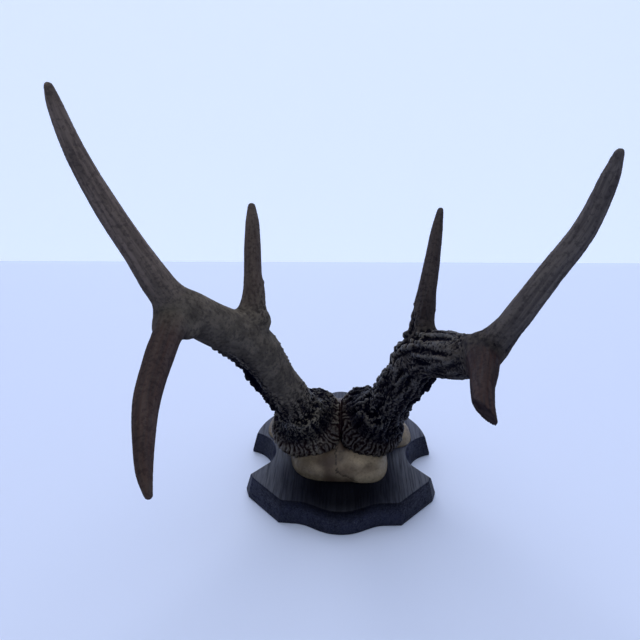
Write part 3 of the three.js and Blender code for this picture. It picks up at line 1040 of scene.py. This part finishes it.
def boneMaterial():
    material, g, shader = newMaterial("skull bone", 0.25)
    coords = g.add("ShaderNodeTexCoord").outputs["Object"]
    patch = g.group(mottle, {"Vector": coords, "Coarse": 75.0, "Fine": 700.0})
    shade = g.group(reliefShade, {"Relief": g.attribute("relief"), "Reach": 0.6})
    colour = g.mix(patch["Patch"], (0.125, 0.094, 0.064, 1), (0.25, 0.196, 0.136, 1))
    colour = g.mix(g.times(g.attribute("pale"), 0.6), colour, (0.40, 0.32, 0.225, 1))
    colour = g.mix(g.times(g.attribute("stain"), 0.95), colour, (0.042, 0.022, 0.017, 1))
    colour = g.mix(g.attribute("shaded"), colour, (0.022, 0.017, 0.014, 1))
    colour = g.mix(g.times(patch["Speck"], 0.3), colour, (0.06, 0.045, 0.032, 1))
    # painted shade in the bone's hollows
    colour = g.mix(shade["Hollow"], colour, (0.02, 0.014, 0.011, 1))
    colour = g.mix(g.times(g.attribute("suture"), 0.7), colour, (0.022, 0.014, 0.010, 1))
    g.put(shader, "Base Color", colour)
    g.put(shader, "Roughness", g.between(patch["Speck"], 0.0, 1.0, 0.45, 0.62))
    g.put(shader, "Normal", g.bump(g.noise(coords, 1100.0, 4.0, 0.6), 0.3, 0.0002))
    return material


def addLump(bm, at, size, square):
    # a ball with its sides drawn out towards a box, more so the smaller square is
    made = bmesh.ops.create_uvsphere(bm, u_segments=64, v_segments=32, radius=1)
    for v in made["verts"]:
        v.co = Vector([math.copysign(abs(c) ** square, c) * s + a for c, s, a in zip(v.co, size, at)])


def buildCap(material):
    bm = bmesh.new()
    for lump in capSet["lumps"]:
        addLump(bm, **lump)
    top, foot, length = capSet["pedicle"]
    for side in ("left", "right"):
        centre = Branch(antlerSet[side]["beam"], side).spot(0)[0]
        axis = Vector(burrSet["axis"][side]).normalized()
        seat = Vector(centre) + axis * (burrSet["profile"][0][1] + 1.5)
        turn = Vector((0, 0, 1)).rotation_difference(axis).to_matrix().to_4x4()
        place = Matrix.Translation(seat - axis * length / 2) @ turn
        bmesh.ops.create_cone(
            bm, cap_ends=True, segments=48, radius1=foot, radius2=top, depth=length, matrix=place)
    cap = skinOf(bm, "cap", capSet["voxel"], capSet["smooth"])
    bm = bmesh.new()
    bm.from_mesh(cap)
    floor = shieldTop / mm + capSet["lift"]
    planeCut(bm, bm.verts[:] + bm.edges[:] + bm.faces[:], (0, 0, floor), (0, 0, -1))
    bmesh.ops.recalc_face_normals(bm, faces=bm.faces[:])
    bm.to_mesh(cap)
    bm.free()
    places = readVectors(cap, "co")
    weight = (smoothStep(-34, -16, places[:, 1]) * np.clip((places[:, 2] - floor) / 1.5, 0, 1))[:, None]
    for _ in range(int(capSet["softPasses"] / coarse ** 2)):
        places = places + (neighbourMean(cap, places) - places) * 0.5 * weight
    setPlaces(cap, places)
    out = readVectors(cap, "normal")
    x, y, z = places.T
    wave = swirl(places * 0.35, 3) * 1.4 + swirl(places * 1.3, 4) * 0.4
    middle = np.where((z > 21) | (y > -35), np.abs(x + 2.5 + wave), 9)
    slope = np.where((x > -3) & (x < 12) & (y < -38), np.abs(z - 22.5 + (x + 3) * 0.5 + wave * 0.5), 9)
    suture = np.clip(1 - np.minimum(middle, slope) / 0.6, 0, 1)
    cloud = swirl(places * (0.09, 0.09, 0.13), 8)
    stain = np.clip(np.exp(-((x + 1) / 10) ** 2) * 0.85 + cloud * 0.9 - 0.1, 0, 1)
    push = -0.3 * suture + 0.4 * swirl(places * 0.12, 9) + 0.08 * swirl(places * 0.6, 10)
    push *= np.clip((z - floor) / 1.5, 0, 1)
    places = places + out * push[:, None]
    setPlaces(cap, places)
    # how deep each spot lies in a hollow, for the painted shade
    relief = np.clip(hollows(cap, 4) / 0.3, -1, 1)
    setPlaces(cap, places * mm + boneShift)
    pale = smoothStep(3, 12, x + 3 * cloud) * (1 - smoothStep(-38, -28, y))
    shaded = softBand(y, -38, -28, -12, 2) * (1 - smoothStep(8, 18, np.abs(x)))
    store(cap, suture=suture, stain=stain, pale=pale, shaded=shaded, relief=relief)
    makeObject("skullCap", cap, material, ["skull_cap"])
    print("skull cap:", len(cap.polygons), "faces")


buildCap(boneMaterial())


boardSet = {
    "straightEdge": 2,
    "draft": 3.4,
    "nearEnd": -84,
    "farEnd": 56,
    "middleY": -14,
    "edgeRound": 0.9,
    "footRound": 0.3,
    "capShadowAt": (0.0, -0.047, 0.015),  # a painted shadow in front of the cap: dark colour and no coat there
    "capShadowReach": (0.058, 0.046, 0.009),
}


def woodMaterial():
    material, g, shader = newMaterial("stained wood", 0.0)
    shader.inputs["Coat Roughness"].default_value = 0.3
    shader.inputs["Coat IOR"].default_value = 1.45
    coords = g.add("ShaderNodeTexCoord").outputs["Object"]
    long = g.stretch(coords, (1.0, 0.045, 1.0))
    fibre = g.noise(long, 1100.0, 3.0, 0.6)
    pore = g.between(g.noise(long, 620.0, 2.0, 0.5), 0.52, 0.66)
    broad = g.noise(g.stretch(coords, (1.0, 0.12, 1.0)), 90.0, 3.0, 0.5)
    colour = g.mix(g.between(broad, 0.3, 0.7), (0.003, 0.004, 0.016, 1), (0.009, 0.011, 0.032, 1))
    colour = g.mix(g.times(g.between(fibre, 0.4, 0.7), 0.5), colour, (0.045, 0.049, 0.070, 1))
    normal = g.add("ShaderNodeNewGeometry").outputs["Normal"]
    facing = g.add("ShaderNodeSeparateXYZ", None, {"Vector": normal}).outputs["Z"]
    upward = g.between(facing, 0.8, 0.97)
    pits = g.times(pore, g.scaled(upward, 0.5, 0.2))
    colour = g.mix(pits, colour, (0.001, 0.001, 0.0015, 1))
    # painted sheen: the upward faces lighter and bluer along the fibres
    paintedTopSheen = g.times(upward, g.between(fibre, 0.32, 0.62, 0.2, 0.9))
    colour = g.mix(paintedTopSheen, colour, (0.060, 0.064, 0.092, 1))
    dust = g.between(g.noise(coords, 900.0, 2.0, 0.5), 0.72, 0.78)
    colour = g.mix(g.times(dust, 0.25), colour, (0.25, 0.25, 0.26, 1))
    # painted shadow of the cap and antlers on the board, centred in front of the cap
    place = g.add("ShaderNodeMapping", {"vector_type": "TEXTURE"}, {
        "Vector": coords, "Location": boardSet["capShadowAt"], "Scale": boardSet["capShadowReach"]}).outputs[0]
    capShadow = g.add("ShaderNodeTexGradient", {"gradient_type": "SPHERICAL"}, {"Vector": place}).outputs["Fac"]
    capShadow = g.between(capShadow, 0.0, 0.75, 0.0, 0.95)
    colour = g.mix(capShadow, colour, (0.0012, 0.0013, 0.0026, 1))
    g.put(shader, "Base Color", colour)
    g.put(shader, "Roughness", g.between(fibre, 0.3, 0.7, 0.4, 0.6))
    # no coat in the painted shadow
    lacquer = g.times(g.between(pore, 0.0, 1.0, 0.65, 0.35), g.math("SUBTRACT", 1.0, capShadow))
    lacquer = g.times(lacquer, g.scaled(upward, 0.4, 0.6))
    g.put(shader, "Coat Weight", lacquer)
    height = g.math("SUBTRACT", g.times(fibre, 0.4), pore)
    g.put(shader, "Normal", g.bump(height, 0.35, 0.00012))
    return material


def bezier(a, b, c, d, steps):
    pts = []
    for t in np.linspace(0, 1, steps + 1)[1:]:
        s = 1 - t
        pts.append([s ** 3 * p + 3 * s * s * t * q + 3 * s * t * t * r + t ** 3 * w
                    for p, q, r, w in zip(a, b, c, d)])
    return pts


def boardOutline():
    near, far = boardSet["nearEnd"], boardSet["farEnd"]
    half = [[0, near]]
    half += bezier((0, near), (14, near), (18, -76), (29, -76), 14)
    half += [[38, -75.5], [60, -54.5], [62.5, -48], [50.5, -35]]
    half += bezier((50.5, -35), (46, -27), (48, -13), (64.5, -8), 14)
    half += bezier((64.5, -8), (63, 12), (50, 30), (30, 33), 16)
    half += bezier((30, 33), (20, 35), (16, far), (0, far), 14)
    whole = half + [[-x, y] for x, y in reversed(half[1:-1])]
    return [Vector((x * mm, (y - boardSet["middleY"]) * mm, 0)) for x, y in whole]


def buildBoard(material):
    bm = bmesh.new()
    base = bm.faces.new([bm.verts.new(p) for p in boardOutline()])
    bm.normal_update()
    if base.normal.z > 0:
        bmesh.ops.reverse_faces(bm, faces=[base])
    made = bmesh.ops.extrude_face_region(bm, geom=[base], use_keep_orig=True)["geom"]
    lid = [g for g in made if isinstance(g, bmesh.types.BMFace)][0]
    rise = boardSet["straightEdge"] * mm
    bmesh.ops.translate(bm, vec=(0, 0, rise), verts=lid.verts[:])
    bmesh.ops.recalc_face_normals(bm, faces=bm.faces[:])
    bmesh.ops.inset_region(bm, faces=[lid], thickness=boardSet["draft"] * mm, depth=0, use_even_offset=True)
    bmesh.ops.translate(bm, vec=(0, 0, shieldTop - rise), verts=lid.verts[:])
    foot = [e for e in bm.edges if all(v.co.z < 1e-5 for v in e.verts)]
    bmesh.ops.bevel(bm, geom=foot, offset=boardSet["footRound"] * mm, affect="EDGES", segments=2,
                    profile=0.5, material=-1, clamp_overlap=True)
    bmesh.ops.bevel(bm, geom=lid.edges[:], offset=boardSet["edgeRound"] * mm, affect="EDGES",
                    segments=3, profile=0.5, material=-1, clamp_overlap=True)
    mesh = meshFrom(bm, "board")
    makeObject("shieldBoard", mesh, material, ["plaque"])
    mesh.shade_flat()
    print("shield:", len(mesh.polygons), "faces")


buildBoard(woodMaterial())

print("all pieces ready")
